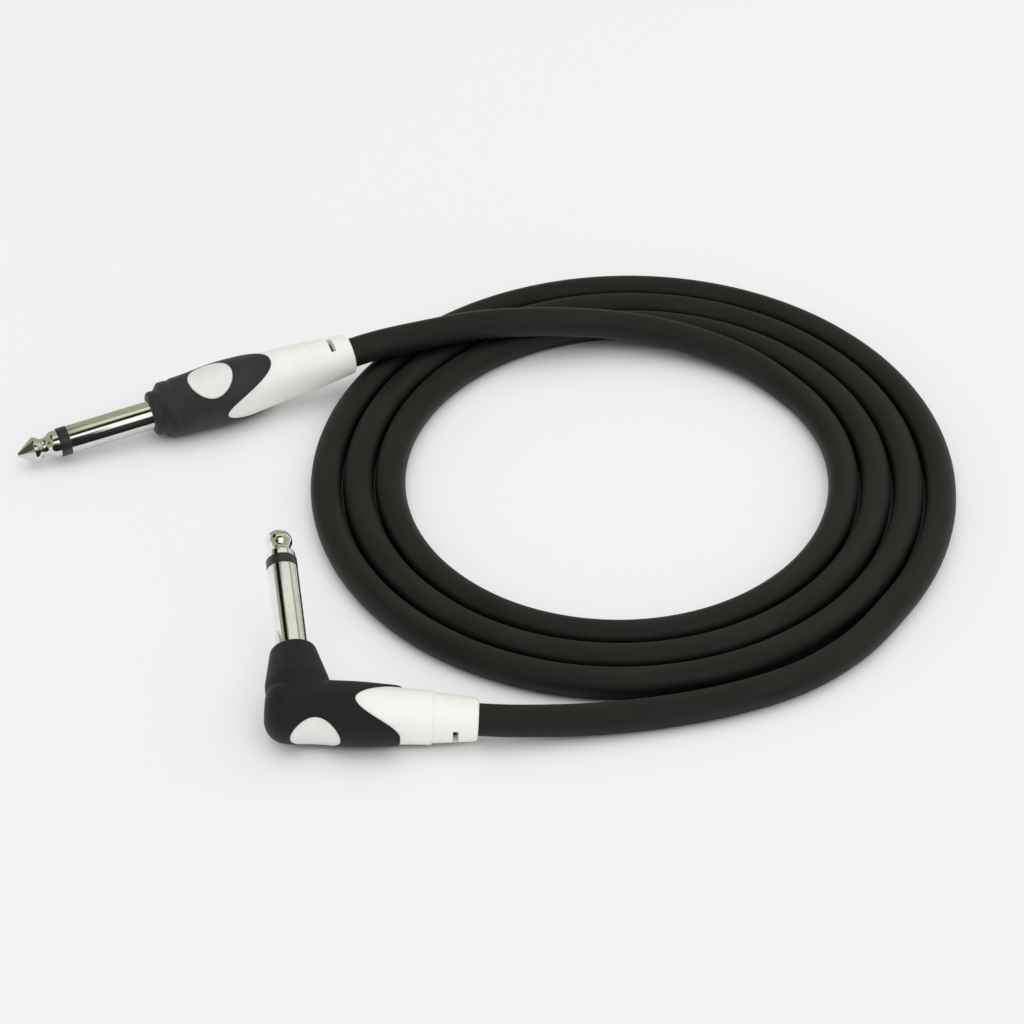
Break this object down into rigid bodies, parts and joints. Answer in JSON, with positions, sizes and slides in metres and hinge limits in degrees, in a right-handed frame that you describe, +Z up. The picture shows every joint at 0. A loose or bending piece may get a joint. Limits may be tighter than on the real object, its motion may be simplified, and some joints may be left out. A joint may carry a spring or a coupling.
{
  "type": "instrument cable",
  "caption": "Shielded instrument cable in a loose flat coil, with a moulded straight quarter-inch plug at one end and a right-angle one at the other.",
  "frame": {"origin": "on the surface the cable lies on, below the middle of the box round the two plugs", "axes": "+Z up from the surface; +Y from the right-angle plug towards the straight plug, away from the viewer; +X from the plugs towards the coil"},
  "size_m": [0.2017, 0.1548, 0.0206],
  "materials": {
    "plug_metal": "bright nickel plate on brass",
    "insulator": "black nylon",
    "tag_brass": "tinned brass strip",
    "mould_black": "black inner mould",
    "grip_black": "black soft moulded skin, satin",
    "shell_white": "off-white moulded skin, satin",
    "badge_white": "plain off-white inlay",
    "core_white": "natural polyethylene core",
    "copper": "twisted bare copper screen",
    "jacket": "matte black flexible jacket"
  },
  "bodies": {
    "root": {"straight_tip_contact": "plug_metal", "straight_tip_insulator": "insulator", "straight_inner_tube": "insulator", "straight_sleeve_contact": "plug_metal", "straight_rear_washer": "insulator", "straight_tip_tag": "tag_brass", "straight_sleeve_tag": "tag_brass", "straight_inner_mould": "mould_black", "straight_grip": "grip_black", "straight_shell": "shell_white", "straight_collar_mould": "shell_white", "straight_badge": "badge_white", "straight_core_wire": "core_white", "straight_screen_pigtail": "copper", "straight_jacket_end": "jacket", "angle_tip_contact": "plug_metal", "angle_tip_insulator": "insulator", "angle_inner_tube": "insulator", "angle_sleeve_contact": "plug_metal", "angle_rear_washer": "insulator", "angle_tip_tag": "tag_brass", "angle_sleeve_tag": "tag_brass", "angle_inner_mould": "mould_black", "angle_grip": "grip_black", "angle_shell": "shell_white", "angle_collar_mould": "shell_white", "angle_badge": "badge_white", "angle_core_wire": "core_white", "angle_screen_pigtail": "copper", "angle_jacket_end": "jacket", "cable": "jacket"}
  },
  "joints": []
}
